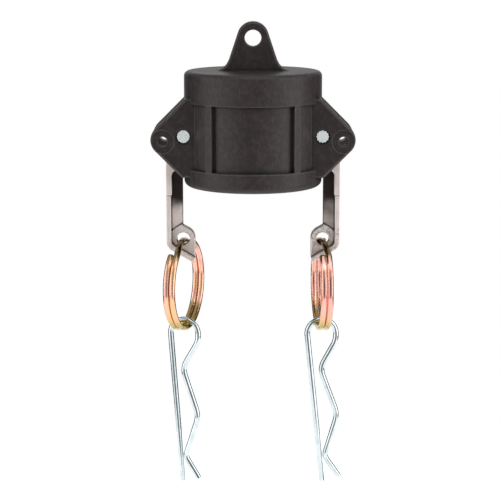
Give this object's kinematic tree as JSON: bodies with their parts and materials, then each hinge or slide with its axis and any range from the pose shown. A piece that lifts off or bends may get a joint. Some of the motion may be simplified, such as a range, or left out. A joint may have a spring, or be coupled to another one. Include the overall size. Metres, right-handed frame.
{
  "type": "camlock dust cap",
  "caption": "Moulded camlock dust cap with a tether eye, hinged cam levers, split pull rings and wire R-clips hanging from the rings.",
  "frame": {"origin": "centre of the socket's mouth, in the plane of the cap's rim", "axes": "+Z along the socket's axis towards the closed end, +X to the right-hand lever's pivot, -Y to the front panel; the hinge pins lie along Y"},
  "size_m": [0.111, 0.0756, 0.2601],
  "materials": {
    "glass_filled_plastic": "fine moulded grain, soft sheen",
    "seal_rubber": "matt",
    "cast_steel": "investment cast and tumbled",
    "pin_steel": "bright drawn",
    "yellow_zinc": "zinc plated with iridescent yellow passivation",
    "bright_zinc": "zinc plated with clear blue passivation"
  },
  "bodies": {
    "cap": {"cap_body": "glass_filled_plastic", "seal": "seal_rubber", "pin_left": "pin_steel", "pin_right": "pin_steel"},
    "left_lever": {"lever_left": "cast_steel"},
    "right_lever": {"lever_right": "cast_steel"},
    "left_ring": {"ring_left": "yellow_zinc"},
    "right_ring": {"ring_right": "yellow_zinc"},
    "left_clip": {"clip_left": "bright_zinc"},
    "right_clip": {"clip_right": "bright_zinc"}
  },
  "joints": [
    {"name": "left_lever_hinge", "type": "hinge", "parent": "cap", "child": "left_lever", "pos_m": [-0.0376, 0, 0.0288], "axis": [0, 1, 0], "range_deg": [0, 125]},
    {"name": "right_lever_hinge", "type": "hinge", "parent": "cap", "child": "right_lever", "pos_m": [0.0376, 0, 0.0288], "axis": [0, -1, 0], "range_deg": [0, 125]},
    {"name": "left_ring_swing", "type": "hinge", "parent": "left_lever", "child": "left_ring", "pos_m": [-0.0385, 0, -0.0297], "axis": [0, 1, 0], "range_deg": [-25, 85]},
    {"name": "right_ring_swing", "type": "hinge", "parent": "right_lever", "child": "right_ring", "pos_m": [0.0385, 0, -0.0297], "axis": [0, 1, 0], "range_deg": [-85, 25]},
    {"name": "left_clip_swing", "type": "hinge", "parent": "left_ring", "child": "left_clip", "pos_m": [-0.0385, 0, -0.0842], "axis": [0.2974, 0.9548, 0], "range_deg": [-25, 70]},
    {"name": "right_clip_swing", "type": "hinge", "parent": "right_ring", "child": "right_clip", "pos_m": [0.0385, 0, -0.0842], "axis": [-0.0854, 0.9963, 0], "range_deg": [-70, 30]}
  ]
}
